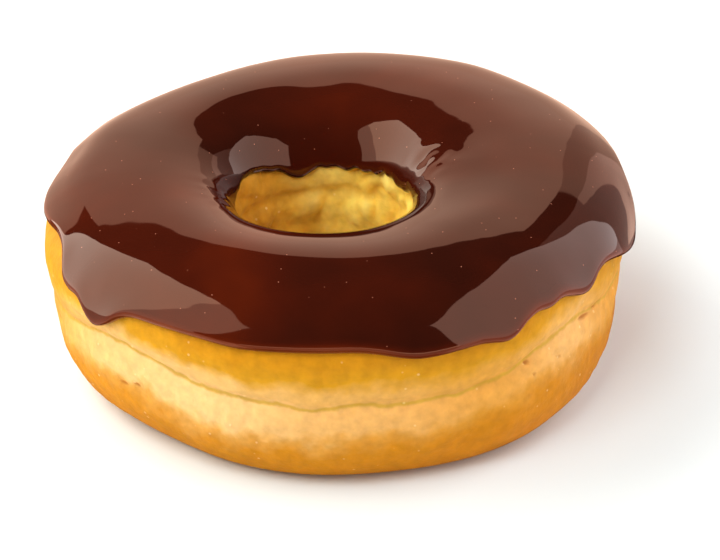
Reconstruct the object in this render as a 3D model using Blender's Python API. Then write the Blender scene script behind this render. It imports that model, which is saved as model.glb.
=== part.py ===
"""A chocolate dipped ring doughnut: a fried dough ring, and the coat of chocolate icing that its top was dipped in.

Metres, +Z up. The doughnut stands on Z = 0, with the origin under the middle of its outline and its front facing -Y.
The sizes below are in millimetres and degrees. A direction round the ring is an angle from the front, towards +X.
"""

import functools
import math

import bmesh
import bpy
import numpy as np
from mathutils import Vector, noise

MM = 0.001

# Cross-section of the dough at the front: radius and height of each station, from the crest over the outside,
# across the foot and up the hole.
CREST, OUTER_SHOULDER, BROW, CHEEK = (30.0, 33.7), (38.9, 32.4), (43.6, 29.7), (46.0, 26.3)
UPPER_BULGE, WAIST, LOWER_BULGE, LOW_SIDE = (46.3, 22.6), (45.3, 18.0), (45.5, 12.3), (44.8, 7.0)
HEEL, FOOT_OUTER, FOOT_INNER, HOLE_HEEL = (42.3, 2.6), (37.5, 0.0), (23.0, 0.0), (18.2, 2.6)
HOLE_LOW, HOLE_THROAT, HOLE_NECK, HOLE_CHEEK = (15.6, 8.0), (14.5, 15.0), (14.6, 21.0), (15.5, 26.4)
HOLE_SHOULDER, INNER_SHOULDER = (17.6, 29.7), (21.6, 32.1)
STATIONS = (
    CREST, OUTER_SHOULDER, BROW, CHEEK, UPPER_BULGE, WAIST, LOWER_BULGE, LOW_SIDE, HEEL,
    FOOT_OUTER, FOOT_INNER, HOLE_HEEL, HOLE_LOW, HOLE_THROAT, HOLE_NECK, HOLE_CHEEK, HOLE_SHOULDER, INNER_SHOULDER,
)
LOOP = len(STATIONS)
WAIST_AT = STATIONS.index(WAIST)
FOOT_AT = STATIONS.index(FOOT_OUTER)
HOLE_AT = STATIONS.index(HOLE_HEEL)
THROAT_AT = STATIONS.index(HOLE_THROAT)

# How the ring differs from a turned one
RING_SHIFT = (0.35, 0.1)                 # puts the middle of the uneven outline over the origin
HOLE_SHIFT = (-2.7, -0.5)                # the hole sits a little to the left of the middle
TOP_LEAN = -0.75                         # the top half leans over the bottom half, to the left
OUTLINE_WAVES = (                        # waves round the ring, size, angle of a crest
    (2, 0.47, -68), (3, 0.3, 34), (4, 0.18, 22), (5, 0.21, -33), (6, 0.16, 4), (7, 0.2, -15), (9, 0.1, -11),
)
SIDE_BULGES = (                          # angle and half width, height and half height, how far it stands out or in
    (-80, 22, 16, 10, 1.4), (88, 14, 18, 5, 0.35), (80, 16, 10, 5, -0.85), (48, 26, 1.5, 5, 0.7),
    (-47, 14, 2.5, 4, -1.35), (-140, 40, 31, 7, -1.0), (178, 12, 32, 6, -0.5), (134, 10, 31, 5, -0.55),
    (-104, 9, 29, 4, -1.0),
)
TOP_DIP, TOP_DIP_AT, TOP_DIP_WIDTH = 1.1, -150, 40  # the ring is this much lower on one side
TOP_LUMP, TOP_LUMP_SIZE = 0.4, 19.0      # how far the top's soft lumps rise, and how wide they are
TOP_LUMP_FADE = (20, 29)                 # heights between which they come in
TOP_SWELLS = (                           # angle and half width, radius and half width, how far the top rises
    (165, 38, 21.5, 5, 0.75), (-165, 18, 22, 5, 0.45), (40, 20, 38, 5, 0.8),
)
SIDE_LUMP, SIDE_LUMP_SIZE = 0.32, 7.0
SIDE_LUMP_FADE = (23, 27)                # heights between which the side's lumps go out
FOOT_FADE = (0.2, 5.0)                   # heights between which all relief comes in above the flat foot

# The pale line where the dough was never in the oil: a crease round the outside and a shallower one round the hole
CREASE_HEIGHT = 16.5
CREASE_RISES = (                         # angle, half width and rise of each bend in it
    (51, 15.5, 3.2), (-50, 16, 3.5), (-6, 5, -0.85), (17, 8, -0.45), (118, 30, 2.0), (-140, 34, -0.6),
)
CREASE_DEPTH, CREASE_HALF_WIDTH = 1.0, 0.75
CREASE_UNEVENNESS = 0.5                  # part of its depth by which the crease is deeper or shallower round the ring
CREASE_FADES = ((-84, 19), (88, 17))     # angle and half width of the places where it all but closes up
CREASE_CLOSED = 0.85
HOLE_CREASE_HEIGHT, HOLE_CREASE_DEPTH, HOLE_CREASE_HALF_WIDTH = 20.4, 0.8, 1.3
CRAG, CRAG_SIZE = 1.15, 6.0              # torn, craggy wall of the hole
FINE_CRAG, FINE_CRAG_SIZE = 0.45, 2.6
CRAG_FADE = 2.6                          # the crags fade out over this height below the icing
DENTS = (                                # angle, height, radius and depth of each dent in the outside
    (-45, 12.2, 2.2, 0.7), (-80, 9.4, 2.6, 0.8), (57, 21.4, 2.4, 0.7),
    (24, 7.0, 2.8, 0.35), (132, 13.0, 3.0, 0.7), (-128, 20.0, 2.6, 0.5),
)

# The icing. Its outer edge runs round the side and dips where it ran down; its inner edge runs round the hole.
ICING_GAP = 0.36
ICING_THICKNESS = 1.05
EDGE_BEAD, EDGE_BEAD_REACH = 0.4, 2.6    # the rolled edge is this much thicker, over this much of the side
EDGE_ROUND = 1.1                         # how far from its end the icing reaches its full thickness
DRIP_SWELL = 0.06                        # more thickness for each millimetre that a drip hangs down
OUTER_EDGE_HEIGHT, INNER_EDGE_HEIGHT = 26.7, 25.8
OUTER_DRIPS = (                          # angle, half width and drop of each drip, or rise where it is negative
    (-73, 10, -2.0), (-61.5, 3.8, 1.7), (-51.6, 4.7, 3.7), (-19.7, 6.7, 0.3), (14.5, 7.2, 1.5),
    (24.9, 8.1, 1.3), (33, 4.1, 1.7), (43.8, 2.2, 0.5), (54.5, 4.9, 1.9), (77.2, 10.9, 3.4), (85.2, 8.2, 2.7),
    (112, 6, 0.4), (139, 4, 2.6), (163, 9, 1.0), (-166, 4, 2.4), (-143, 8, 0.8), (-116, 4.5, 1.8),
)
INNER_DRIPS = (
    (-125, 14, -0.9), (-162, 11, 1.9), (168, 26, 1.2), (118, 11, 1.1), (66, 6, 1.8), (25, 8, -1.0), (-20, 7, 2.2),
    (-62, 8, 0.8),
)
DRIP_PULL = 3                            # a drip pulls the rows of the icing down less and less, by this power

# How finely the solids are divided
DOUGH_COLUMNS, ICING_COLUMNS = 96, 144
ROWS_IN_SPAN = (1, 1, 2, 2, 4, 3, 2, 2, 2, 1, 1, 2, 2, 3, 3, 2, 1, 1)
CREASE_ROW_REACH = 0.25                  # one more row lies this part of a span below the crease
ICING_EDGE_STEPS, ICING_TOP_ROWS, ICING_BACK_ROWS = 3, 9, 9
SAMPLES_IN_SPAN = 12                     # how finely the icing's ends are looked for along the section
PATH_SAMPLES = 60                        # how finely its way over the crust is measured
TURN_STEP, STATION_STEP = 0.5, 0.02      # steps round the ring and along the section to find which way is outward

DOUGH_COLOUR, DOUGH_ROUGHNESS = (0.78, 0.42, 0.1), 0.55
ICING_COLOUR, ICING_ROUGHNESS = (0.05, 0.013, 0.007), 0.12


def bump(angle, centre, width):
    """1 at the centre angle, fading out over the width, all in degrees round the ring."""
    away = (angle - centre + 180) % 360 - 180
    return math.exp(-((away / width) ** 2))


def smooth_step(value, low, high):
    share = min(1.0, max(0.0, (value - low) / (high - low)))
    return share * share * (3 - 2 * share)


def side_swell(angle, height):
    """How far the outside of the ring stands out or in here."""
    swell = sum(size * math.cos(math.radians(count * (angle - crest))) for count, size, crest in OUTLINE_WAVES)
    for centre, width, level, half_height, size in SIDE_BULGES:
        swell += size * bump(angle, centre, width) * math.exp(-(((height - level) / half_height) ** 2))
    return swell


def crease_height(angle):
    return CREASE_HEIGHT + sum(rise * bump(angle, centre, width) for centre, width, rise in CREASE_RISES)


def drop(angle, drips):
    """How far the icing's edge hangs below its usual height at this angle."""
    return sum(depth * bump(angle, centre, width) for centre, width, depth in drips)


def section_point(angle, station):
    """Radius and height on the smooth cross-section. The station number runs on between the named stations."""
    whole = math.floor(station)
    t = station - whole
    corners = []
    for k in range(whole - 1, whole + 3):
        radius, height = STATIONS[k % LOOP]
        if k % LOOP == WAIST_AT:
            height = crease_height(angle)
        corners.append(np.array((radius, height)))
    before, start, end, after = corners
    # A Catmull-Rom spline: a smooth curve through every station
    return 0.5 * (
        2 * start
        + (end - before) * t
        + (2 * before - 5 * start + 4 * end - after) * t**2
        + (3 * start - before - 3 * end + after) * t**3
    )


def smooth_crust(angle, station):
    """A point on the ring before its relief, in millimetres."""
    radius, height = section_point(angle, station)
    share_of_hole = 1 - smooth_step(radius, HOLE_THROAT[0], CREST[0])
    radius += side_swell(angle, height) * smooth_step(radius, FOOT_INNER[0], UPPER_BULGE[0])
    height *= 1 - TOP_DIP / CREST[1] * bump(angle, TOP_DIP_AT, TOP_DIP_WIDTH)
    lean = TOP_LEAN * smooth_step(height, LOWER_BULGE[1], CHEEK[1]) * (1 - share_of_hole)
    around = math.radians(angle)
    return Vector((
        radius * math.sin(around) + HOLE_SHIFT[0] * share_of_hole + lean + RING_SHIFT[0],
        -radius * math.cos(around) + HOLE_SHIFT[1] * share_of_hole + RING_SHIFT[1],
        max(height, 0.0),
    ))


def outward(angle, station):
    """The direction straight out of the smooth ring at this place."""
    along = smooth_crust(angle + TURN_STEP, station) - smooth_crust(angle - TURN_STEP, station)
    down = smooth_crust(angle, station + STATION_STEP) - smooth_crust(angle, station - STATION_STEP)
    return down.cross(along).normalized()


def top_lump(point):
    """The broad soft lumps of the top, which the icing follows."""
    angle = math.degrees(math.atan2(point.x, -point.y))
    radius = math.hypot(point.x, point.y)
    lump = TOP_LUMP * noise.noise(point / TOP_LUMP_SIZE)
    for centre, width, level, half_width, rise in TOP_SWELLS:
        lump += rise * bump(angle, centre, width) * math.exp(-(((radius - level) / half_width) ** 2))
    return lump * smooth_step(point.z, *TOP_LUMP_FADE)


def hole_crags(angle, station, point):
    """The torn wall of the hole, which is smooth again under the icing."""
    in_hole = smooth_step(station, FOOT_AT, HOLE_AT) * (1 - smooth_step(station, LOOP - 2, LOOP))
    icing_end = INNER_EDGE_HEIGHT - drop(angle, INNER_DRIPS) - ICING_GAP
    bare = 1 - smooth_step(point.z, icing_end - CRAG_FADE, icing_end)
    crags = CRAG * noise.noise(point / CRAG_SIZE) + FINE_CRAG * noise.noise(point / FINE_CRAG_SIZE)
    crags -= HOLE_CREASE_DEPTH * math.exp(-(((point.z - HOLE_CREASE_HEIGHT) / HOLE_CREASE_HALF_WIDTH) ** 2))
    return crags * in_hole * bare * smooth_step(point.z, *FOOT_FADE)


def side_marks(angle, point):
    """The crease and the dents of the outside."""
    depth = CREASE_DEPTH * (1 - CREASE_UNEVENNESS / 2 + CREASE_UNEVENNESS * noise.noise(point / TOP_LUMP_SIZE))
    for centre, width in CREASE_FADES:
        depth *= 1 - CREASE_CLOSED * bump(angle, centre, width)
    marks = -depth * math.exp(-(((point.z - crease_height(angle)) / CREASE_HALF_WIDTH) ** 2))
    for centre, level, size, deep in DENTS:
        along = math.radians((angle - centre + 180) % 360 - 180) * LOWER_BULGE[0]
        marks -= deep * math.exp(-(along**2 + (point.z - level) ** 2) / size**2)
    return marks


def relief(angle, station, point):
    """How far the crust stands out from the smooth ring."""
    side_lump = SIDE_LUMP * noise.noise(point / SIDE_LUMP_SIZE) * (1 - smooth_step(point.z, *SIDE_LUMP_FADE))
    stands_out = top_lump(point) + side_lump * smooth_step(point.z, *FOOT_FADE)
    stands_out += hole_crags(angle, station, point)
    if station < FOOT_AT:
        stands_out += side_marks(angle, point)
    return stands_out


def crust(angle, station):
    """A point on the dough's surface, in millimetres. The foot stays flat."""
    point = smooth_crust(angle, station)
    if point.z <= 0:
        return point
    moved = point + outward(angle, station) * relief(angle, station, point)
    moved.z = max(moved.z, 0.0)
    return moved


def dough_rows():
    """Station number of each row of the dough."""
    rows = []
    for span, parts in enumerate(ROWS_IN_SPAN):
        rows += [span + k / parts for k in range(parts)]
    return sorted(rows + [WAIST_AT + CREASE_ROW_REACH])


def end_stations(angle, drip_share):
    """Stations where the icing ends outside and in the hole, with this share of the drips."""
    outside = np.linspace(0, WAIST_AT, WAIST_AT * SAMPLES_IN_SPAN)
    inside = np.linspace(THROAT_AT, LOOP, (LOOP - THROAT_AT) * SAMPLES_IN_SPAN)
    outside_heights = [smooth_crust(angle, station).z for station in outside]
    inside_heights = [smooth_crust(angle, station).z for station in inside]
    outer_edge = OUTER_EDGE_HEIGHT - drip_share * drop(angle, OUTER_DRIPS)
    inner_edge = INNER_EDGE_HEIGHT - drip_share * drop(angle, INNER_DRIPS)
    outer_end = np.interp(outer_edge, outside_heights[::-1], outside[::-1])
    inner_end = np.interp(inner_edge, inside_heights, inside) - LOOP
    return outer_end, inner_end


@functools.lru_cache(maxsize=None)
def icing_path(angle):
    """The icing's way over the crust: stations from its outer end to its inner one, how far along each lies, and
    the ends with and without their drips."""
    ends = end_stations(angle, 1.0)
    plain_ends = end_stations(angle, 0.0)
    stations = np.linspace(*ends, PATH_SAMPLES)
    points = np.array([smooth_crust(angle, station % LOOP) for station in stations])
    steps = np.linalg.norm(np.diff(points, axis=0), axis=1)
    return stations, np.concatenate([[0], np.cumsum(steps)]), ends, plain_ends


def icing_station(angle, share):
    """The station at this share of the way over the icing. A drip moves the rows near it the most."""
    ends, plain_ends = icing_path(angle)[2:]
    plain = plain_ends[0] + share * (plain_ends[1] - plain_ends[0])
    outer_pull = (ends[0] - plain_ends[0]) * (1 - share) ** DRIP_PULL
    inner_pull = (ends[1] - plain_ends[1]) * share**DRIP_PULL
    return plain + outer_pull + inner_pull


def icing_rows():
    """For each row of the icing, the part it belongs to and how far through that part it lies."""
    turns = [k / ICING_EDGE_STEPS for k in range(ICING_EDGE_STEPS)]
    rows = [("outer end", turn) for turn in turns]
    rows += [("top", k / (ICING_TOP_ROWS - 1)) for k in range(ICING_TOP_ROWS)]
    rows += [("inner end", turn) for turn in reversed(turns)]
    rows += [("back", k / (ICING_BACK_ROWS + 1)) for k in range(ICING_BACK_ROWS, 0, -1)]
    return rows


def icing_point(angle, row):
    """A point on the icing: its rounded ends, its top, or its back against the dough."""
    part, share = row
    stations, lengths = icing_path(angle)[:2]
    full = lengths[-1]
    turn = share * math.pi / 2
    if part == "outer end":
        along, raised = EDGE_ROUND * (1 - math.cos(turn)), math.sin(turn)
    elif part == "inner end":
        along, raised = full - EDGE_ROUND * (1 - math.cos(turn)), math.sin(turn)
    else:
        along = np.interp(-icing_station(angle, share), -stations, lengths)
        raised = 0.0
    if part == "top":
        along = EDGE_ROUND + along * (full - 2 * EDGE_ROUND) / full
        raised = 1.0
    hang = max(0.0, drop(angle, OUTER_DRIPS))
    bead = (EDGE_BEAD + DRIP_SWELL * hang) * math.exp(-((along / EDGE_BEAD_REACH) ** 2))
    station = np.interp(along, lengths, stations) % LOOP
    point = smooth_crust(angle, station)
    ground = relief(angle, station, point) * (1 - raised) + top_lump(point) * raised
    return point + outward(angle, station) * (ICING_GAP + ground + raised * (ICING_THICKNESS + bead))


def food_material(name, colour, roughness):
    material = bpy.data.materials.new(name)
    material.use_nodes = True
    shader = material.node_tree.nodes["Principled BSDF"]
    shader.inputs["Base Color"].default_value = (*colour, 1.0)
    shader.inputs["Roughness"].default_value = roughness
    shader.inputs["Metallic"].default_value = 0.0
    return material


def ring_object(name, rows, columns, place, material):
    """Spins a loop with one vertex for each row round the Z axis, then puts each vertex at place(angle, row)."""
    shape = bmesh.new()
    row_of = shape.verts.layers.int.new("row")
    loop = []
    for number in range(len(rows)):
        turn = 2 * math.pi * number / len(rows)
        vertex = shape.verts.new((0, -CREST[0] - math.sin(turn), math.cos(turn)))
        vertex[row_of] = number
        loop.append(vertex)
    edges = [shape.edges.new((loop[k - 1], loop[k])) for k in range(len(loop))]
    bmesh.ops.spin(
        shape, geom=loop + edges, cent=(0, 0, 0), axis=(0, 0, 1),
        angle=math.tau, steps=columns, use_merge=True, use_duplicate=False,
    )
    for vertex in shape.verts:
        column = round(math.degrees(math.atan2(vertex.co.x, -vertex.co.y)) / (360 / columns))
        vertex.co = place(column * 360 / columns, rows[vertex[row_of]]) * MM
    bmesh.ops.recalc_face_normals(shape, faces=shape.faces)
    # The thin shell of the icing can come out facing inwards
    if shape.calc_volume(signed=True) < 0:
        bmesh.ops.reverse_faces(shape, faces=shape.faces)
    mesh = bpy.data.meshes.new(name)
    shape.to_mesh(mesh)
    shape.free()
    mesh.shade_smooth()
    mesh.materials.append(material)
    bpy.context.scene.collection.objects.link(bpy.data.objects.new(name, mesh))


def main():
    for old in list(bpy.data.objects):
        bpy.data.objects.remove(old)
    dough = food_material("dough", DOUGH_COLOUR, DOUGH_ROUGHNESS)
    icing = food_material("chocolate_icing", ICING_COLOUR, ICING_ROUGHNESS)
    ring_object("dough_ring", dough_rows(), DOUGH_COLUMNS, crust, dough)
    ring_object("chocolate_icing", icing_rows(), ICING_COLUMNS, icing_point, icing)


main()
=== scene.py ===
"""The looks of a chocolate dipped ring doughnut: fried yeast dough under a coat of glossy chocolate icing.

Metres, +Z up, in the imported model's frame. The shapes are worked out in millimetres, and a direction round
the ring is an angle in degrees from the front, which faces -Y, towards +X.
"""

import math

import bpy
import numpy as np
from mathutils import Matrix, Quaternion, Vector, noise


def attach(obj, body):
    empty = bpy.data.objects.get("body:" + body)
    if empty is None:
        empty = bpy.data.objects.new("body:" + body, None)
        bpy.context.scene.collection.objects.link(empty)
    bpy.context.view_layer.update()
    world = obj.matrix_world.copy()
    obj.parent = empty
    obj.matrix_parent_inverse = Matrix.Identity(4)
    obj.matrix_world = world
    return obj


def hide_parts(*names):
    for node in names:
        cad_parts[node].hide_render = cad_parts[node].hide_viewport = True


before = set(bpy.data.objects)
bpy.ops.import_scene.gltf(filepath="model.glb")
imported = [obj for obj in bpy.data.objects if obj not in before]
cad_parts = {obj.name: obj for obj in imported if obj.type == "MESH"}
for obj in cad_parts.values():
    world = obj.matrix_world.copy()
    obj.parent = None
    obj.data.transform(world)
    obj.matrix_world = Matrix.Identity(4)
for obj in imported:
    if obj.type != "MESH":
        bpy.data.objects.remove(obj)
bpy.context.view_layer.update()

MM = 0.001

# Cross-section of the dough at the front: radius and height of each station, from the crest down the
# outside, across the foot and up the hole
CREST, OUTER_SHOULDER, BROW, CHEEK = (30.0, 33.7), (38.9, 32.4), (43.6, 29.7), (46.0, 26.3)
UPPER_BULGE, WAIST, LOWER_BULGE, LOW_SIDE = (46.3, 22.6), (45.3, 18.0), (45.5, 12.3), (44.8, 7.0)
HEEL, FOOT_OUTER, FOOT_INNER, HOLE_HEEL = (42.3, 2.6), (37.5, 0.0), (23.0, 0.0), (18.2, 2.6)
HOLE_LOW, HOLE_THROAT, HOLE_NECK, HOLE_CHEEK = (15.6, 8.0), (14.5, 15.0), (14.6, 21.0), (15.5, 26.4)
HOLE_SHOULDER, INNER_SHOULDER = (17.6, 29.7), (21.6, 32.1)
STATIONS = (
    CREST, OUTER_SHOULDER, BROW, CHEEK, UPPER_BULGE, WAIST, LOWER_BULGE, LOW_SIDE, HEEL, FOOT_OUTER,
    FOOT_INNER, HOLE_HEEL, HOLE_LOW, HOLE_THROAT, HOLE_NECK, HOLE_CHEEK, HOLE_SHOULDER, INNER_SHOULDER,
)
LOOP = len(STATIONS)
CHEEK_AT = STATIONS.index(CHEEK)
WAIST_AT = STATIONS.index(WAIST)
FOOT_AT = STATIONS.index(FOOT_OUTER)
HOLE_AT = STATIONS.index(HOLE_HEEL)
THROAT_AT = STATIONS.index(HOLE_THROAT)
HOLE_CHEEK_AT = STATIONS.index(HOLE_CHEEK)
HOLE_SHOULDER_AT = STATIONS.index(HOLE_SHOULDER)

# How the ring differs from a turned one: sizes in millimetres, angles in degrees
RING_SHIFT = (0.35, 0.1)
HOLE_SHIFT = (-2.7, -0.5)
TOP_LEAN = -0.75
OUTLINE_WAVES = (                        # waves round the ring, size, angle of a crest
    (2, 0.47, -68), (3, 0.3, 34), (4, 0.18, 22), (5, 0.21, -33), (6, 0.16, 4), (7, 0.2, -15), (9, 0.1, -11),
)
SIDE_BULGES = (                          # angle and half width, height and half height, how far out
    (-80, 22, 16, 10, 1.4), (88, 14, 18, 5, 0.35), (80, 16, 10, 5, -0.85), (48, 26, 1.5, 5, 0.7),
    (-47, 14, 2.5, 4, -1.35), (-140, 40, 31, 7, -1.0), (178, 12, 32, 6, -0.5), (134, 10, 31, 5, -0.55),
    (-104, 9, 29, 4, -1.0),
)
TOP_DIP, TOP_DIP_AT, TOP_DIP_WIDTH = 1.1, -150, 40
TOP_LUMP, TOP_LUMP_SIZE, TOP_LUMP_FADE = 0.4, 19.0, (20, 29)
TOP_SWELLS = (                           # angle and half width, radius and half width, rise of the top
    (165, 38, 21.5, 5, 0.75), (-165, 18, 22, 5, 0.45), (40, 20, 38, 5, 0.8),
)
SIDE_LUMP, SIDE_LUMP_SIZE, SIDE_LUMP_FADE = 0.32, 7.0, (23, 27)
FOOT_FADE = (0.2, 5.0)

# The crease, in the pale band where the dough was never in the oil
CREASE_HEIGHT = 16.5
CREASE_RISES = (                         # angle, half width and rise of each bend in it
    (51, 15.5, 3.2), (-50, 16, 3.5), (-6, 5, -0.85), (17, 8, -0.45), (118, 30, 2.0), (-140, 34, -0.6),
)
CREASE_DEPTH, CREASE_HALF_WIDTH, CREASE_UNEVENNESS = 1.0, 0.75, 0.5
CREASE_FADES, CREASE_CLOSED = ((-84, 19), (88, 17)), 0.85    # angle and half width where it all but closes
HOLE_CREASE_HEIGHT, HOLE_CREASE_DEPTH, HOLE_CREASE_HALF_WIDTH = 20.4, 0.8, 1.3
CRAG, CRAG_SIZE, FINE_CRAG, FINE_CRAG_SIZE = 1.15, 6.0, 0.45, 2.6
CRAG_END, CRAG_FADE = 0.36, 2.6          # they end this far below the icing's edge, and fade over this much
DENTS = (                                # angle, height, radius and depth of each dent in the outside
    (-45, 12.2, 2.2, 0.7), (-80, 9.4, 2.6, 0.8), (57, 21.4, 2.4, 0.7),
    (24, 7.0, 2.8, 0.35), (132, 13.0, 3.0, 0.7), (-128, 20.0, 2.6, 0.5),
)

# The icing
ICING_LIFT = 1.41                        # from the smooth dough to the icing's surface
ICING_SINK = 0.25                        # its back lies this far inside the crust, so that no gap shows
EDGE_BEAD, EDGE_BEAD_REACH, EDGE_ROUND, DRIP_SWELL = 0.4, 2.6, 1.1, 0.06
OUTER_EDGE_HEIGHT, INNER_EDGE_HEIGHT = 26.7, 25.8
OUTER_DRIPS = (                          # angle, half width and drop of each drip, or rise if negative
    (-73, 10, -2.0), (-61.5, 3.8, 1.7), (-51.6, 4.7, 3.7), (-19.7, 6.7, 0.3), (14.5, 7.2, 1.5),
    (24.9, 8.1, 1.3), (33, 4.1, 1.7), (43.8, 2.2, 0.5), (54.5, 4.9, 1.9), (77.2, 10.9, 3.4),
    (85.2, 8.2, 2.7), (112, 6, 0.4), (139, 4, 2.6), (163, 9, 1.0), (-166, 4, 2.4), (-143, 8, 0.8),
    (-116, 4.5, 1.8),
)
INNER_DRIPS = (
    (-125, 14, -0.9), (-162, 11, 1.9), (168, 26, 1.2), (118, 11, 1.1), (66, 6, 1.8), (25, 8, -1.0),
    (-20, 7, 2.2), (-62, 8, 0.8),
)
DRIP_PULL = 3                            # a drip pulls the icing's rows along by this power of nearness

# Fine relief of the dough, in millimetres: how high and how wide
SKIN, SKIN_SIZE, FINE_SKIN, FINE_SKIN_SIZE = 0.11, 2.1, 0.04, 0.9
FOLD, FOLD_SIZE, FOLD_STRETCH = 0.2, 1.5, 0.3      # the pale band is gathered into small upright folds
FOLDS_BEGIN, FOLDS_END = (-6.5, -5.0), (-1.4, -0.4)     # from the crease, where they fade in and out
PLEAT, PLEAT_SIZE, PLEAT_STRETCH = 1.5, 4.0, 0.5   # upright pleats of the hole's torn wall
PLEAT_SINK = 0.35                        # the sharp valleys between them lie this deep
PLEAT_START = 40                         # in the noise, so that the pleats don't follow the crags
CRUMB, CRUMB_SIZE, FINE_CRUMB, FINE_CRUMB_SIZE = 0.16, 1.4, 0.07, 0.8
HOLE_RADII = (22, 30)                    # between these the hole's wall turns into the top
TEAR_TAPER = 0.08                        # a tear tapers to both ends, but not in this last share of it
TEARS = (                                # angle and height of both ends, depth and half width of each
    (55.0, 18.6, 62.5, 17.9, 0.55, 0.45), (61.5, 17.9, 66.0, 18.6, 0.4, 0.4),
    (38.0, 17.9, 40.2, 17.2, 0.5, 0.5), (-51.0, 12.6, -47.2, 12.7, 0.45, 0.5),
    (-47.2, 12.7, -43.5, 14.0, 0.4, 0.45), (-77.5, 14.6, -73.0, 14.0, 0.4, 0.4),
    (45.5, 16.4, 49.0, 15.6, 0.3, 0.4), (39.5, 15.9, 41.5, 14.7, 0.3, 0.35),
    (110, 17.0, 117, 18.0, 0.5, 0.5), (-136, 15.0, -130, 16.4, 0.5, 0.45),
    (167, 13.4, 172, 14.4, 0.45, 0.45),
)

# Where the crust is paler or browner: angle, half width and share of each place
PALE_PLACES = ((-30, 27, 0.9), (-56, 13, 0.3), (10, 18, 0.3), (51, 13, 0.5), (170, 45, 0.5))
PALE_REACH = 0.65                        # the band reaches further down by this share where it is palest
# Darker places: the one at the right is painted shade on the side that less light reaches, and at the other
# two the crust is darker
BROWN_AND_SHADE_PLACES = ((82, 40, 0.6), (20, 25, 0.15), (-150, 40, 0.4))

# Fine relief of the icing
ICING_WAVE, ICING_WAVE_SIZE, ICING_RIPPLE, ICING_RIPPLE_SIZE = 0.045, 8.0, 0.006, 2.5
ICING_SWELLS = (                         # angle and half width, radius and half width, rise of the icing
    (125, 22, 17, 5, 0.45), (90, 13, 23, 5, 0.27),
)
ICING_WRINKLES = (                       # the same for patches of small wrinkles
    (107, 14, 17.5, 3.0, 0.4), (-73, 12, 19.5, 3.0, 0.4),
)
WRINKLE_SIZE = 2.4
THIN_PLACES = (                          # angle and half width of each thin place, and how thin it is
    (-24, 16, 0.33), (-64, 32, 0.3), (10, 20, 0.1), (150, 60, 0.3),
)
THIN_EDGE, THIN_EDGE_REACH = 1.0, 1.3    # its rolled edge lets the most light through, over this distance
RAGGED_EDGE, RAGGED_EDGE_SIZE = 0.3, 2.0             # its edge in the hole goes up and down by this much
TORN_EDGE, TORN_EDGE_AT, TORN_EDGE_WIDTH = 1.0, 152, 22         # and by this much more where it tore

# How finely the pieces are divided, before their last subdivision
DOUGH_COLUMNS, DOUGH_ROWS = 256, 88
ICING_COLUMNS, ICING_EDGE_ROWS, ICING_TOP_ROWS, ICING_BACK_ROWS = 288, 4, 48, 14
SAMPLES_IN_SPAN, SECTION_SAMPLES, PATH_SAMPLES = 12, 865, 60
TURN_STEP, STATION_STEP = 0.5, 0.02
HIDDEN_SHARE = 0.35                      # how densely rows out of sight lie, where those in sight have 1


def bump(angle, centre, width):
    """1 at the centre angle, fading out over the width, all in degrees round the ring."""
    away = (angle - centre + 180) % 360 - 180
    return np.exp(-((away / width) ** 2))


def smooth_step(value, low, high):
    share = np.clip((value - low) / (high - low), 0, 1)
    return share * share * (3 - 2 * share)


def lumps(points, size):
    """Smooth noise from about -1 to 1, whose lumps are about this size."""
    flat = (np.asarray(points) / size).reshape(-1, 3)
    return np.array([noise.noise(Vector(point)) for point in flat]).reshape(np.shape(points)[:-1])


def side_swell(angle, height):
    """How far the outside of the ring stands out or in here."""
    swell = sum(size * np.cos(np.radians(count * (angle - crest))) for count, size, crest in OUTLINE_WAVES)
    for centre, width, level, half_height, size in SIDE_BULGES:
        swell = swell + size * bump(angle, centre, width) * np.exp(-(((height - level) / half_height) ** 2))
    return swell


def crease_height(angle):
    return CREASE_HEIGHT + sum(rise * bump(angle, centre, width) for centre, width, rise in CREASE_RISES)


def drop(angle, drips):
    """How far the icing's edge hangs below its usual height at this angle."""
    return sum(depth * bump(angle, centre, width) for centre, width, depth in drips)


def section_point(angle, station):
    """Radius and height on the smooth cross-section. Station numbers run on between the named stations."""
    table = np.array(STATIONS)
    whole = np.floor(station).astype(int)
    t = (station - whole)[..., None]
    corners = []
    for k in (-1, 0, 1, 2):
        at = (whole + k) % LOOP
        height = np.where(at == WAIST_AT, crease_height(angle), table[at, 1])
        corners.append(np.stack([table[at, 0], height], axis=-1))
    before, start, end, after = corners
    # A cubic curve that runs smoothly through every station
    return 0.5 * (
        2 * start
        + (end - before) * t
        + (2 * before - 5 * start + 4 * end - after) * t**2
        + (3 * start - before - 3 * end + after) * t**3
    )


def smooth_crust(angle, station):
    """Points on the ring before its relief, in millimetres."""
    angle, station = np.broadcast_arrays(np.asarray(angle, float), np.asarray(station, float))
    radius, height = np.moveaxis(section_point(angle, station), -1, 0)
    share_of_hole = 1 - smooth_step(radius, HOLE_THROAT[0], CREST[0])
    radius = radius + side_swell(angle, height) * smooth_step(radius, FOOT_INNER[0], UPPER_BULGE[0])
    height = height * (1 - TOP_DIP / CREST[1] * bump(angle, TOP_DIP_AT, TOP_DIP_WIDTH))
    lean = TOP_LEAN * smooth_step(height, LOWER_BULGE[1], CHEEK[1]) * (1 - share_of_hole)
    around = np.radians(angle)
    x = radius * np.sin(around) + HOLE_SHIFT[0] * share_of_hole + lean + RING_SHIFT[0]
    y = -radius * np.cos(around) + HOLE_SHIFT[1] * share_of_hole + RING_SHIFT[1]
    return np.stack([x, y, np.maximum(height, 0)], axis=-1)


def outward(angle, station):
    """The directions straight out of the smooth ring at these places."""
    along = smooth_crust(angle + TURN_STEP, station) - smooth_crust(angle - TURN_STEP, station)
    down = smooth_crust(angle, station + STATION_STEP) - smooth_crust(angle, station - STATION_STEP)
    out = np.cross(down, along)
    return out / np.linalg.norm(out, axis=-1, keepdims=True)


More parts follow.
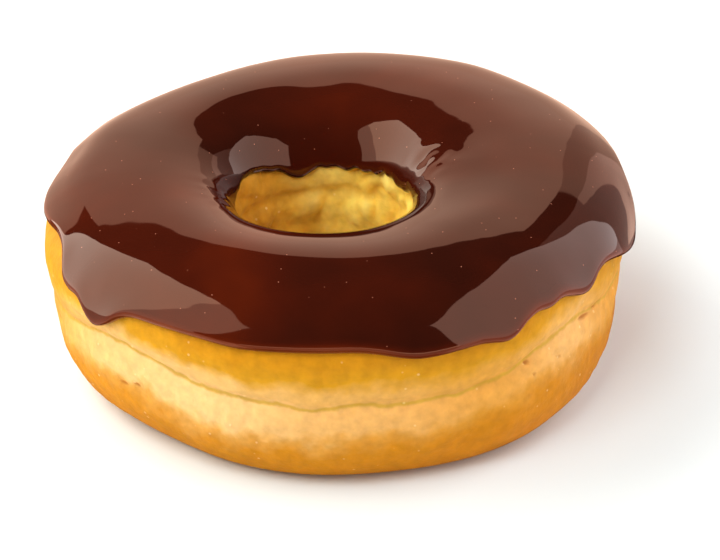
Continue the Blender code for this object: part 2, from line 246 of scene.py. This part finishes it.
def top_lump(point):
    """The broad soft lumps of the top, which the icing follows."""
    angle = np.degrees(np.arctan2(point[..., 0], -point[..., 1]))
    radius = np.hypot(point[..., 0], point[..., 1])
    lump = TOP_LUMP * lumps(point, TOP_LUMP_SIZE)
    for centre, width, level, half_width, rise in TOP_SWELLS:
        lump = lump + rise * bump(angle, centre, width) * np.exp(-(((radius - level) / half_width) ** 2))
    return lump * smooth_step(point[..., 2], *TOP_LUMP_FADE)


def hole_share(station):
    """1 on the wall of the hole, 0 outside and under the icing's crest."""
    return smooth_step(station, FOOT_AT, HOLE_AT) * (1 - smooth_step(station, HOLE_SHOULDER_AT, LOOP))


def hole_crags(angle, station, point):
    """The torn wall of the hole, which is smooth again under the icing."""
    height = point[..., 2]
    icing_end = INNER_EDGE_HEIGHT - drop(angle, INNER_DRIPS) - CRAG_END
    bare = 1 - smooth_step(height, icing_end - CRAG_FADE, icing_end)
    crags = CRAG * lumps(point, CRAG_SIZE) + FINE_CRAG * lumps(point, FINE_CRAG_SIZE)
    off_crease = (height - HOLE_CREASE_HEIGHT) / HOLE_CREASE_HALF_WIDTH
    crags = crags - HOLE_CREASE_DEPTH * np.exp(-(off_crease**2))
    return crags * hole_share(station) * bare * smooth_step(height, *FOOT_FADE)


def side_marks(angle, point):
    """The crease and the dents of the outside."""
    height = point[..., 2]
    depth = CREASE_DEPTH * (1 - CREASE_UNEVENNESS / 2 + CREASE_UNEVENNESS * lumps(point, TOP_LUMP_SIZE))
    for centre, width in CREASE_FADES:
        depth = depth * (1 - CREASE_CLOSED * bump(angle, centre, width))
    marks = -depth * np.exp(-(((height - crease_height(angle)) / CREASE_HALF_WIDTH) ** 2))
    for centre, level, size, deep in DENTS:
        along = np.radians((angle - centre + 180) % 360 - 180) * LOWER_BULGE[0]
        marks = marks - deep * np.exp(-(along**2 + (height - level) ** 2) / size**2)
    return marks


def relief(angle, station, point):
    """How far the crust stands out from the smooth ring."""
    height = point[..., 2]
    side_lump = SIDE_LUMP * lumps(point, SIDE_LUMP_SIZE) * (1 - smooth_step(height, *SIDE_LUMP_FADE))
    stands_out = top_lump(point) + side_lump * smooth_step(height, *FOOT_FADE)
    stands_out = stands_out + hole_crags(angle, station, point)
    return stands_out + np.where(station < FOOT_AT, side_marks(angle, point), 0)


def end_stations(angle, drip_share):
    """Stations where the icing ends outside and in the hole, with this share of the drips."""
    outside = np.linspace(0, WAIST_AT, WAIST_AT * SAMPLES_IN_SPAN)
    inside = np.linspace(THROAT_AT, LOOP, (LOOP - THROAT_AT) * SAMPLES_IN_SPAN)
    outside_heights = smooth_crust(angle[:, None], outside)[..., 2]
    inside_heights = smooth_crust(angle[:, None], inside)[..., 2]
    outer_edge = OUTER_EDGE_HEIGHT - drip_share * drop(angle, OUTER_DRIPS)
    inner_edge = INNER_EDGE_HEIGHT - drip_share * drop(angle, INNER_DRIPS)
    around = np.radians(angle)
    rim = HOLE_CHEEK[0] * np.stack([np.sin(around), -np.cos(around), np.zeros_like(around)], axis=-1)
    raggedness = RAGGED_EDGE + TORN_EDGE * bump(angle, TORN_EDGE_AT, TORN_EDGE_WIDTH)
    inner_edge = inner_edge + drip_share * raggedness * lumps(rim, RAGGED_EDGE_SIZE)
    outer_end = [
        np.interp(edge, heights[::-1], outside[::-1]) for edge, heights in zip(outer_edge, outside_heights)
    ]
    inner_end = [np.interp(edge, heights, inside) for edge, heights in zip(inner_edge, inside_heights)]
    return np.array(outer_end), np.array(inner_end) - LOOP


def plain_torus(name, columns, rows):
    """A torus of the doughnut's rough size, and each vertex's column and row in it, both counted from 0."""
    bpy.ops.object.select_all(action="DESELECT")
    bpy.ops.mesh.primitive_torus_add(
        major_segments=columns, minor_segments=rows, generate_uvs=False, location=(0, 0, 0),
        major_radius=CREST[0] * MM, minor_radius=CREST[1] / 2 * MM,
    )
    ring = bpy.context.object
    ring.name = ring.data.name = name
    places = np.empty(len(ring.data.vertices) * 3)
    ring.data.vertices.foreach_get("co", places)
    x, y, z = places.reshape(-1, 3).T / MM
    column = np.round(np.arctan2(y, x) * columns / math.tau).astype(int) % columns
    row = np.round(np.arctan2(z, np.hypot(x, y) - CREST[0]) * rows / math.tau).astype(int) % rows
    return ring, column, row


def column_angles(columns):
    """The angle of each column of such a torus, whose first column lies towards +X."""
    return 90 + np.arange(columns) * 360 / columns


def move_vertices(ring, points):
    ring.data.vertices.foreach_set("co", (np.asarray(points) * MM).ravel())
    ring.data.update()


def finish_ring(ring):
    """Faces outwards, one subdivision applied, smooth shading."""
    bpy.context.view_layer.objects.active = ring
    bpy.ops.object.mode_set(mode="EDIT")
    bpy.ops.mesh.select_all(action="SELECT")
    bpy.ops.mesh.normals_make_consistent(inside=False)
    bpy.ops.object.mode_set(mode="OBJECT")
    rounding = ring.modifiers.new("rounding", "SUBSURF")
    rounding.levels = rounding.render_levels = 1
    bpy.ops.object.modifier_apply(modifier=rounding.name)
    bpy.ops.object.shade_smooth()


def places_and_normals(ring):
    """The vertices in millimetres, and the directions that they face."""
    count = len(ring.data.vertices)
    places, normals = np.empty(count * 3), np.empty(count * 3)
    ring.data.vertices.foreach_get("co", places)
    ring.data.vertices.foreach_get("normal", normals)
    return places.reshape(-1, 3) / MM, normals.reshape(-1, 3)


def keep_for_material(ring, name, values):
    """Stores one number at each vertex, which the material reads by this name."""
    attribute = ring.data.attributes.new(name, "FLOAT", "POINT")
    attribute.data.foreach_set("value", np.asarray(values, np.float32))


def tear_depth(angle, height):
    """How deep the short tears of the outside are here, and how near this is to the middle of one."""
    depth, nearness = np.zeros_like(angle), np.zeros_like(angle)
    for start_angle, start_height, end_angle, end_height, deep, half_width in TEARS:
        along = np.radians((angle - start_angle + 180) % 360 - 180) * LOWER_BULGE[0]
        up = height - start_height
        run = math.radians(end_angle - start_angle) * LOWER_BULGE[0]
        rise = end_height - start_height
        share = np.clip((along * run + up * rise) / (run**2 + rise**2), 0, 1)
        near = np.exp(-((along - share * run) ** 2 + (up - share * rise) ** 2) / half_width**2)
        taper = np.sin(math.pi * np.clip(share, TEAR_TAPER, 1 - TEAR_TAPER))
        depth += deep * near * taper
        nearness = np.maximum(nearness, near * taper)
    return depth, nearness


def carve_dough(ring):
    """Fine relief on the finished ring, and what its material reads: blistered skin, folds in the pale band,
    tears, and the hole's torn crumb."""
    points, normals = places_and_normals(ring)
    height, radius = points[:, 2], np.hypot(points[:, 0], points[:, 1])
    angle = np.degrees(np.arctan2(points[:, 0], -points[:, 1]))
    above_crease = height - crease_height(angle)
    in_hole = 1 - smooth_step(radius, *HOLE_RADII)
    skin = SKIN * lumps(points, SKIN_SIZE) + FINE_SKIN * lumps(points, FINE_SKIN_SIZE)
    in_band = smooth_step(above_crease, *FOLDS_BEGIN) * (1 - smooth_step(above_crease, *FOLDS_END))
    folds = FOLD * lumps(points * (1, 1, FOLD_STRETCH), FOLD_SIZE) * in_band
    torn, tear_nearness = tear_depth(angle, height)
    pleats = PLEAT * np.abs(lumps(points * (1, 1, PLEAT_STRETCH) + PLEAT_START, PLEAT_SIZE)) - PLEAT_SINK
    crumb = CRUMB * lumps(points, CRUMB_SIZE) + FINE_CRUMB * lumps(points, FINE_CRUMB_SIZE)
    fine = (skin + folds - torn) * (1 - in_hole) + (pleats + crumb) * in_hole
    fine *= smooth_step(height, *FOOT_FADE)
    keep_for_material(ring, "above_crease", above_crease)
    keep_for_material(ring, "in_hole", in_hole)
    paleness = sum(share * bump(angle, *place) for *place, share in PALE_PLACES)
    keep_for_material(ring, "paleness", paleness)
    lowered = above_crease / (1 + PALE_REACH * paleness)
    keep_for_material(ring, "band_level", np.where(above_crease < 0, lowered, above_crease))
    # Darker crust in a few places, and painted shade on the right side
    keep_for_material(ring, "browning_and_shade", sum(share * bump(angle, *place) for *place, share in BROWN_AND_SHADE_PLACES))
    # Nearness to the middles of the tears, where the material paints shade
    keep_for_material(ring, "torn", tear_nearness * (1 - in_hole))
    # How far the crumb lies back, from which the material paints its light and shade
    keep_for_material(ring, "hollow", -(pleats + crumb + CRAG * lumps(points, CRAG_SIZE)))
    move_vertices(ring, points + normals * fine[:, None])


def dough_station_of_row():
    """The station of each row, evenly along the section but less densely under the icing and the foot."""
    fine = np.linspace(0, LOOP, SECTION_SAMPLES)
    points = smooth_crust(0.0, fine)
    steps = np.linalg.norm(np.diff(points, axis=0), axis=1)
    middles = (fine[1:] + fine[:-1]) / 2
    outside = (middles > CHEEK_AT) & (middles < FOOT_AT)
    inside = (middles > HOLE_AT) & (middles < (HOLE_CHEEK_AT + HOLE_SHOULDER_AT) / 2)
    weights = steps * np.where(outside | inside, 1, HIDDEN_SHARE)
    reached = np.concatenate([[0], np.cumsum(weights)])
    return np.interp(np.arange(DOUGH_ROWS) / DOUGH_ROWS * reached[-1], reached, fine)


def make_dough():
    ring, column, row = plain_torus("fried_dough", DOUGH_COLUMNS, DOUGH_ROWS)
    stations = dough_station_of_row()[row]
    angles = column_angles(DOUGH_COLUMNS)[column]
    points = smooth_crust(angles, stations)
    moved = points + outward(angles, stations) * relief(angles, stations, points)[:, None]
    moved[:, 2] = np.where(points[:, 2] <= 0, 0, np.maximum(moved[:, 2], 0))
    move_vertices(ring, moved)
    finish_ring(ring)
    carve_dough(ring)
    return ring


def icing_ripple(point):
    """How far the icing's surface stands out by itself: slow waves, swells and small wrinkles."""
    angle = np.degrees(np.arctan2(point[..., 0], -point[..., 1]))
    radius = np.hypot(point[..., 0], point[..., 1])

    def patch(centre, width, level, half_width):
        return bump(angle, centre, width) * np.exp(-(((radius - level) / half_width) ** 2))

    ripple = ICING_WAVE * lumps(point, ICING_WAVE_SIZE) + ICING_RIPPLE * lumps(point, ICING_RIPPLE_SIZE)
    for *place, rise in ICING_SWELLS:
        ripple += rise * patch(*place)
    wrinkles = lumps(point, WRINKLE_SIZE)
    for *place, rise in ICING_WRINKLES:
        ripple += rise * patch(*place) * wrinkles
    return ripple


def make_icing():
    rows = 2 * ICING_EDGE_ROWS + ICING_TOP_ROWS + ICING_BACK_ROWS
    ring, column, row = plain_torus("chocolate_icing_coat", ICING_COLUMNS, rows)
    angles = column_angles(ICING_COLUMNS)
    ends, plain_ends = end_stations(angles, 1.0), end_stations(angles, 0.0)
    shares = np.linspace(0, 1, PATH_SAMPLES)
    stations = ends[0][:, None] + (ends[1] - ends[0])[:, None] * shares
    path = smooth_crust(angles[:, None], stations % LOOP)
    lengths = np.cumsum(np.linalg.norm(np.diff(path, axis=1), axis=2), axis=1)
    lengths = np.concatenate([np.zeros((ICING_COLUMNS, 1)), lengths], axis=1)
    full = lengths[:, -1]

    # Row by row: how far along the icing's way, and how far raised, from 0 on its back to 1 on its top
    turns = np.arange(ICING_EDGE_ROWS) / ICING_EDGE_ROWS * math.pi / 2
    along, raised = [], []

    def station_on_way(share):
        """The station at this share of the way over the icing. A drip moves the rows near it the most."""
        plain = plain_ends[0] + share * (plain_ends[1] - plain_ends[0])
        outer_pull = (ends[0] - plain_ends[0]) * (1 - share) ** DRIP_PULL
        inner_pull = (ends[1] - plain_ends[1]) * share**DRIP_PULL
        return plain + outer_pull + inner_pull

    def length_on_way(share):
        wanted = station_on_way(share)
        return np.array([np.interp(-s, -own, length) for s, own, length in zip(wanted, stations, lengths)])

    for turn in turns:
        along.append(np.full(ICING_COLUMNS, EDGE_ROUND * (1 - math.cos(turn))))
        raised.append(math.sin(turn))
    for k in range(ICING_TOP_ROWS):
        length = length_on_way(k / (ICING_TOP_ROWS - 1))
        along.append(EDGE_ROUND + length * (full - 2 * EDGE_ROUND) / full)
        raised.append(1.0)
    for turn in turns[::-1]:
        along.append(full - EDGE_ROUND * (1 - math.cos(turn)))
        raised.append(math.sin(turn))
    for k in range(ICING_BACK_ROWS, 0, -1):
        along.append(length_on_way(k / (ICING_BACK_ROWS + 1)))
        raised.append(0.0)
    along = np.array(along)[row, column]
    raised = np.array(raised)[row]
    angles = angles[column]
    station = np.array([
        np.interp(a, lengths[c], stations[c]) for a, c in zip(along, column)
    ]) % LOOP
    point = smooth_crust(angles, station)
    hang = np.maximum(0, drop(angles, OUTER_DRIPS))
    bead = (EDGE_BEAD + DRIP_SWELL * hang) * np.exp(-((along / EDGE_BEAD_REACH) ** 2))
    ground = relief(angles, station, point) * (1 - raised) + top_lump(point) * raised
    lift = raised * (ICING_LIFT + ICING_SINK + bead) - ICING_SINK
    ripple = icing_ripple(point) * raised
    thinness = sum(share * bump(angles, *place) for *place, share in THIN_PLACES)
    thinness = np.maximum(thinness, THIN_EDGE * np.exp(-((along / THIN_EDGE_REACH) ** 2)))
    keep_for_material(ring, "thinness", thinness)
    move_vertices(ring, point + outward(angles, station) * (ground + lift + ripple)[:, None])
    finish_ring(ring)
    return ring


# Looks
def linear(hex_colour):
    """A colour given as sRGB hex, such as 4a1509, as linear red, green, blue and alpha."""
    parts = [int(hex_colour[k : k + 2], 16) / 255 for k in (0, 2, 4)]
    return (*(p / 12.92 if p <= 0.04045 else ((p + 0.055) / 1.055) ** 2.4 for p in parts), 1.0)


def new_material(name):
    material = bpy.data.materials.new(name)
    material.use_nodes = True
    material.node_tree.nodes.clear()
    return material, material.node_tree


def add_node(tree, kind, inputs=None, stops=None, **settings):
    """A node with its settings, its colour stops, and its inputs, each a value or an output to link."""
    node = tree.nodes.new(kind)
    for name, value in settings.items():
        setattr(node, name, value)
    for name, value in (inputs or {}).items():
        if isinstance(value, bpy.types.NodeSocket):
            tree.links.new(value, node.inputs[name])
        else:
            node.inputs[name].default_value = value
    for k, (position, colour) in enumerate(stops or ()):
        stop = node.color_ramp.elements[k] if k < 2 else node.color_ramp.elements.new(position)
        stop.position = position
        stop.color = colour
    return node


TO_MILLIMETRES = (1000, 1000, 1000)      # a place in metres times this is in millimetres

# Colours of the icing, from where it is thickest, 0, to where it is thinnest, 1
ICING_COLOURS = ((0, "2a0c06"), (0.3, "3c1006"), (0.6, "521806"), (1, "6e3216"))
ICING_CLOUD = 12                         # size of the thicker and thinner places of a dipped coat
BUBBLE_SPACING = 2.1

# Colours of the crust by millimetres above the crease
CRUST_COLOURS = (
    (-17, "c47511"), (-11.9, "c67c13"), (-5.9, "c48015"), (0.1, "d6a036"), (4.6, "cc9218"), (8.5, "c28310"),
    (13, "c18011"),
)
BAND_SHARES = (                          # how much of the pale band shows at each of these heights
    (-6.72, 0), (-4.8, 0.25), (-3.2, 0.95), (0, 1), (0.96, 0.75), (2.88, 0.65), (5.44, 0),
)
# Colours of the crumb by millimetres that it lies back, paler on its ridges and deeper yellow further back:
# painted light and shade
CRUMB_SHADED_COLOURS = ((-1, "fde078"), (-0.2, "fcd866"), (0.4, "fad058"), (1, "ecb440"))
DOUGH_NOISES = (                         # what each is for, the size of its lumps, how much finer it goes
    ("band edge", 4.5, 3), ("crease line", 3.0, 3), ("crumb", 2.0, 3), ("mottle", 1.8, 5), ("grain", 0.7, 4),
)
BLISTER_SPACING = 1.9


def ramp_stops(table):
    """The table's places as shares of the way from its first to its last, each with its colour."""
    first, last = table[0][0], table[-1][0]
    return [((place - first) / (last - first), colour) for place, colour in table]


def chocolate_material():
    """Dark chocolate icing, set to a wet-looking gloss: nearly black-brown, redder where it is thin, with a
    few tiny air bubbles just under its surface, whose glints are painted in as pale specks."""
    material, tree = new_material("dark_chocolate_icing")
    metres = add_node(tree, "ShaderNodeTexCoord").outputs["Object"]
    scaled = add_node(tree, "ShaderNodeVectorMath", {0: metres, 1: TO_MILLIMETRES}, operation="MULTIPLY")
    place = scaled.outputs["Vector"]
    thinness = add_node(tree, "ShaderNodeAttribute", attribute_name="thinness").outputs["Fac"]
    cloud = add_node(tree, "ShaderNodeTexNoise", {"Vector": place, "Scale": 1 / ICING_CLOUD, "Detail": 2})
    drift = add_node(tree, "ShaderNodeMapRange", {
        "Value": cloud.outputs["Fac"], "To Min": -0.25, "To Max": 0.25,
    })
    thin = add_node(tree, "ShaderNodeMath", {0: thinness, 1: drift.outputs["Result"]}, operation="ADD")
    stops = [(share, linear(colour)) for share, colour in ICING_COLOURS]
    brown = add_node(tree, "ShaderNodeValToRGB", {"Fac": thin.outputs[0]}, stops)
    # Tiny air bubbles under the surface, with their glints painted in as pale pinkish specks
    cells = add_node(tree, "ShaderNodeTexVoronoi", {"Vector": place, "Scale": 1 / BUBBLE_SPACING})
    bubble_glint = add_node(tree, "ShaderNodeMapRange", {
        "Value": cells.outputs["Distance"], "From Min": 0.03, "From Max": 0.055, "To Min": 0.7, "To Max": 0,
    })
    coloured = add_node(tree, "ShaderNodeMix", {
        0: bubble_glint.outputs["Result"], 6: brown.outputs["Color"], 7: linear("c07a62"),
    }, data_type="RGBA")
    shader = add_node(tree, "ShaderNodeBsdfPrincipled", {
        "Base Color": coloured.outputs[2], "Roughness": 0.035, "IOR": 1.5, "Specular Tint": linear("ffc5aa"),
    })
    add_node(tree, "ShaderNodeOutputMaterial", {"Surface": shader.outputs["BSDF"]})
    return material


def dough_material():
    """Fried yeast dough: a soft, slightly greasy golden crust, darker towards the foot and the icing, a pale
    band at the crease where the dough never was in the oil, and yellow torn crumb in the hole."""
    material, tree = new_material("fried_yeast_dough")
    metres = add_node(tree, "ShaderNodeTexCoord").outputs["Object"]
    scaled = add_node(tree, "ShaderNodeVectorMath", {0: metres, 1: TO_MILLIMETRES}, operation="MULTIPLY")
    place = scaled.outputs["Vector"]
    kept = {}
    for name in ("above_crease", "band_level", "paleness", "browning_and_shade", "torn", "hollow", "in_hole"):
        kept[name] = add_node(tree, "ShaderNodeAttribute", attribute_name=name).outputs["Fac"]
    noises = {}
    for use, size, detail in DOUGH_NOISES:
        noise = add_node(tree, "ShaderNodeTexNoise", {"Vector": place, "Scale": 1 / size, "Detail": detail})
        noises[use] = noise.outputs["Fac"]

    # Golden crust by height, with an uneven edge to each colour, darker in a few places, and darkened on the
    # right as painted shade
    drift = add_node(tree, "ShaderNodeMapRange", {
        "Value": noises["band edge"], "To Min": -2.5, "To Max": 2.5,
    })
    level = add_node(tree, "ShaderNodeMath", {
        0: kept["band_level"], 1: drift.outputs["Result"],
    }, operation="ADD")
    height = add_node(tree, "ShaderNodeMapRange", {
        "Value": level.outputs[0], "From Min": CRUST_COLOURS[0][0], "From Max": CRUST_COLOURS[-1][0],
    })
    stops = [(share, linear(colour)) for share, colour in ramp_stops(CRUST_COLOURS)]
    golden = add_node(tree, "ShaderNodeValToRGB", {"Fac": height.outputs["Result"]}, stops)
    crust = add_node(tree, "ShaderNodeMix", {
        0: kept["browning_and_shade"], 6: golden.outputs["Color"], 7: linear("e2dacb"),
    }, data_type="RGBA", blend_type="MULTIPLY")

    # The pale band, and the darker yellow line of the crease in it, which is painted shade along the
    # crease's groove
    band = add_node(tree, "ShaderNodeMix", {
        0: kept["paleness"], 6: linear("cd8e30"), 7: linear("ecbf82"),
    }, data_type="RGBA")
    band_height = add_node(tree, "ShaderNodeMapRange", {
        "Value": level.outputs[0], "From Min": BAND_SHARES[0][0], "From Max": BAND_SHARES[-1][0],
    })
    stops = [(at, (share, share, share, 1)) for at, share in ramp_stops(BAND_SHARES)]
    band_share = add_node(tree, "ShaderNodeValToRGB", {"Fac": band_height.outputs["Result"]}, stops)
    crust = add_node(tree, "ShaderNodeMix", {
        0: band_share.outputs["Color"], 6: crust.outputs[2], 7: band.outputs[2],
    }, data_type="RGBA")
    wander = add_node(tree, "ShaderNodeMapRange", {
        "Value": noises["crease line"], "To Min": -0.8, "To Max": 0.8,
    })
    off_line = add_node(tree, "ShaderNodeMath", {
        0: kept["above_crease"], 1: wander.outputs["Result"],
    }, operation="ADD")
    distance = add_node(tree, "ShaderNodeMath", {0: off_line.outputs[0]}, operation="ABSOLUTE")
    crease_shade_share = add_node(tree, "ShaderNodeMapRange", {
        "Value": distance.outputs[0], "From Min": 0.12, "From Max": 0.5, "To Min": 0.8, "To Max": 0,
    })
    crust = add_node(tree, "ShaderNodeMix", {
        0: crease_shade_share.outputs["Result"], 6: crust.outputs[2], 7: linear("bd9430"),
    }, data_type="RGBA")
    # Painted shade in the tears: dark brown along their middles
    tear_shade_share = add_node(tree, "ShaderNodeMapRange", {
        "Value": kept["torn"], "From Min": 0.35, "From Max": 0.8, "To Max": 0.85,
    })
    crust = add_node(tree, "ShaderNodeMix", {
        0: tear_shade_share.outputs["Result"], 6: crust.outputs[2], 7: linear("a5601c"),
    }, data_type="RGBA")

    # Torn crumb with painted light and shade, lighter on its ridges and darker in its hollows, and painted
    # shade at the left of the hole, between these places along X
    speckle = add_node(tree, "ShaderNodeMapRange", {
        "Value": noises["crumb"], "To Min": -0.5, "To Max": 0.5,
    })
    hollow = add_node(tree, "ShaderNodeMath", {
        0: kept["hollow"], 1: speckle.outputs["Result"],
    }, operation="ADD")
    depth = add_node(tree, "ShaderNodeMapRange", {
        "Value": hollow.outputs[0], "From Min": CRUMB_SHADED_COLOURS[0][0], "From Max": CRUMB_SHADED_COLOURS[-1][0],
    })
    stops = [(share, linear(colour)) for share, colour in ramp_stops(CRUMB_SHADED_COLOURS)]
    yellow = add_node(tree, "ShaderNodeValToRGB", {"Fac": depth.outputs["Result"]}, stops)
    axes = add_node(tree, "ShaderNodeSeparateXYZ", {"Vector": place})
    # Painted shade on the left side of the hole, which the light reaches less
    hole_left_shade = add_node(tree, "ShaderNodeMapRange", {
        "Value": axes.outputs["X"], "From Min": -12, "From Max": 1, "To Min": 0.95, "To Max": 0,
    })
    crumb = add_node(tree, "ShaderNodeMix", {
        0: hole_left_shade.outputs["Result"], 6: yellow.outputs["Color"], 7: linear("c58724"),
    }, data_type="RGBA")
    colour = add_node(tree, "ShaderNodeMix", {
        0: kept["in_hole"], 6: crust.outputs[2], 7: crumb.outputs[2],
    }, data_type="RGBA")

    # Mottled all over, with small pale blisters in half of the cells, whose paleness is partly painted
    # glints of the greasy skin
    mottle = add_node(tree, "ShaderNodeMapRange", {
        "Value": noises["mottle"], "From Min": 0.3, "From Max": 0.7, "To Min": 0.86, "To Max": 1.08,
    })
    mottled = add_node(tree, "ShaderNodeVectorMath", {
        0: colour.outputs[2], "Scale": mottle.outputs["Result"],
    }, operation="SCALE")
    cells = add_node(tree, "ShaderNodeTexVoronoi", {"Vector": place, "Scale": 1 / BLISTER_SPACING})
    spot = add_node(tree, "ShaderNodeMapRange", {
        "Value": cells.outputs["Distance"], "From Min": 0.08, "From Max": 0.16, "To Min": 1, "To Max": 0,
    })
    cell_colour = add_node(tree, "ShaderNodeSeparateColor", {"Color": cells.outputs["Color"]})
    chosen = add_node(tree, "ShaderNodeMapRange", {
        "Value": cell_colour.outputs["Red"], "From Min": 0.5, "From Max": 0.55,
    })
    blister_and_glint = add_node(tree, "ShaderNodeMath", {
        0: spot.outputs["Result"], 1: chosen.outputs["Result"],
    }, operation="MULTIPLY")
    pale_share = add_node(tree, "ShaderNodeMath", {0: blister_and_glint.outputs[0], 1: 0.3}, operation="MULTIPLY")
    coloured = add_node(tree, "ShaderNodeMix", {
        0: pale_share.outputs[0], 6: mottled.outputs["Vector"], 7: linear("ffe2a8"),
    }, data_type="RGBA")

    raised = add_node(tree, "ShaderNodeMath", {
        0: blister_and_glint.outputs[0], 1: 0.6, 2: noises["grain"],
    }, operation="MULTIPLY_ADD")
    rough = add_node(tree, "ShaderNodeBump", {
        "Height": raised.outputs[0], "Strength": 0.85, "Distance": 0.12 * MM,
    })
    shader = add_node(tree, "ShaderNodeBsdfPrincipled", {
        "Base Color": coloured.outputs[2], "Roughness": 0.55, "IOR": 1.4, "Specular IOR Level": 0.2,
        "Specular Tint": linear("ffe7bc"), "Subsurface Weight": 0.2, "Subsurface Radius": (1.0, 0.5, 0.2),
        "Subsurface Scale": 2 * MM, "Normal": rough.outputs["Normal"],
    })
    add_node(tree, "ShaderNodeOutputMaterial", {"Surface": shader.outputs["BSDF"]})
    return material


dough = make_dough()
dough.data.materials.clear()
dough.data.materials.append(dough_material())
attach(dough, "root")
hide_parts("dough_ring")

icing = make_icing()
icing.data.materials.clear()
icing.data.materials.append(chocolate_material())
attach(icing, "root")
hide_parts("chocolate_icing")

# A plain pale floor, matt as paper is
bpy.ops.object.select_all(action="DESELECT")
bpy.ops.mesh.primitive_plane_add(size=4, location=(0, 0, 0))
floor = bpy.context.object
floor.name = "floor"
floor_material, floor_tree = new_material("matt_paper")
floor_shader = add_node(floor_tree, "ShaderNodeBsdfPrincipled", {
    "Base Color": linear("e1eaec"), "Roughness": 0.9,
})
add_node(floor_tree, "ShaderNodeOutputMaterial", {"Surface": floor_shader.outputs["BSDF"]})
floor.data.materials.append(floor_material)
floor.visible_glossy = False              # the icing mirrors the dim brown room round it, not the floor

# The camera, at the photograph's angle
IMAGE_WIDTH, IMAGE_HEIGHT = 720, 560
CAMERA_HEIGHT_ANGLE, CAMERA_DISTANCE, CAMERA_ROLL = 31.0, 608.0, -1.55
FOCAL_PIXELS = 3735
MIDDLE_PIXEL = (342.5, 248.5)            # where the photograph shows the point that the camera is aimed at
AIM = (*RING_SHIFT, 18)
camera_data = bpy.data.cameras.new("camera")
camera_data.sensor_width = 36
camera_data.lens = FOCAL_PIXELS / IMAGE_WIDTH * camera_data.sensor_width
camera_data.shift_x = (IMAGE_WIDTH / 2 - MIDDLE_PIXEL[0]) / IMAGE_WIDTH
camera_data.shift_y = (MIDDLE_PIXEL[1] - IMAGE_HEIGHT / 2) / IMAGE_WIDTH
camera = bpy.data.objects.new("camera", camera_data)
bpy.context.scene.collection.objects.link(camera)
height_angle = math.radians(CAMERA_HEIGHT_ANGLE)
away = Vector((0, -math.cos(height_angle), math.sin(height_angle))) * CAMERA_DISTANCE * MM
camera.location = Vector(AIM) * MM + away
camera.rotation_mode = "QUATERNION"
roll = Quaternion((0, 0, 1), math.radians(CAMERA_ROLL))
camera.rotation_quaternion = (-away).to_track_quat("-Z", "Y") @ roll
bpy.context.scene.camera = camera

# Light: a nearly dark room
world = bpy.data.worlds.new("studio")
bpy.context.scene.world = world
world.use_nodes = True
background = world.node_tree.nodes["Background"]
background.inputs["Color"].default_value = linear("ffdabc")
background.inputs["Strength"].default_value = 0.03

# Upright softboxes all round it, each as large and as far away as its reflection in the icing shows, and two
# high ones that aren't mirrored. Each has its name, its middle, its width and height, the way it faces, its
# radiance in red, green and blue, and whether it is mirrored. A radiance of 1 shows as bright as a fully lit
# white sheet. Below the floor's height they show only as reflections.
TO_FRONT, TO_BACK, TO_LEFT, TO_RIGHT = (0, -1, 0), (0, 1, 0), (-1, 0, 0), (1, 0, 0)
SOFTBOXES = (
    ("back_softbox", (-0.11, 1.0, 0.48), (0.94, 0.56), TO_FRONT, (1.35, 0.85, 0.62), True),
    ("low_back_softbox", (-0.11, 1.0, -0.15), (0.94, 0.7), TO_FRONT, (1.3, 0.8, 0.57), True),
    ("back_left_softbox", (-0.78, 1.0, 0.04), (0.4, 1.08), TO_FRONT, (1.4, 0.84, 0.6), True),
    ("back_right_softbox", (0.56, 1.0, 0.08), (0.4, 1.16), TO_FRONT, (0.85, 0.53, 0.39), True),
    ("right_softbox", (0.45, -0.125, 0.43), (0.95, 0.86), TO_LEFT, (2.4, 2.3, 2.35), True),
    ("right_back_softbox", (0.45, 0.555, 0.0), (0.41, 1.0), TO_LEFT, (0.55, 0.36, 0.31), True),
    ("left_softbox", (-0.45, 0.16, 0.44), (0.58, 0.88), TO_RIGHT, (4.2, 4.1, 3.7), True),
    ("left_front_softbox", (-0.45, -0.245, 0.44), (0.23, 0.88), TO_RIGHT, (2.1, 2.1, 2.0), True),
    ("front_softbox", (0, -0.9, 0.07), (1.4, 0.12), TO_BACK, (3.6, 3.2, 2.6), True),
    ("low_front_softbox", (0, -0.9, -0.45), (1.8, 0.9), TO_BACK, (1.1, 0.8, 0.65), True),
    ("low_right_softbox", (0.45, -0.1, -0.45), (0.9, 0.9), TO_LEFT, (1.2, 0.9, 0.85), True),
    ("low_left_softbox", (-0.45, -0.1, -0.45), (0.9, 0.9), TO_RIGHT, (1.5, 1.0, 0.8), True),
    ("top_softbox", (-0.25, -0.42, 0.7), (0.4, 0.4), (0.25, 0.42, -0.7), (7.4, 7.6, 7.6), False),
    ("high_back_softbox", (-0.3, 0.5, 0.6), (0.4, 0.4), (0.3, -0.5, -0.6), (3.5, 3.5, 3.5), False),
)
for name, middle, size, facing, radiance, mirrored in SOFTBOXES:
    light = bpy.data.lights.new(name, "AREA")
    light.shape = "RECTANGLE"
    light.size, light.size_y = size
    strongest = max(radiance)
    light.energy = strongest * math.pi * size[0] * size[1]
    light.color = [part / strongest for part in radiance]
    lamp = bpy.data.objects.new(name, light)
    bpy.context.scene.collection.objects.link(lamp)
    lamp.location = middle
    lamp.rotation_mode = "QUATERNION"
    lamp.rotation_quaternion = Vector(facing).to_track_quat("-Z", "Y")
    lamp.visible_glossy = mirrored

bpy.context.scene.view_settings.view_transform = "Standard"
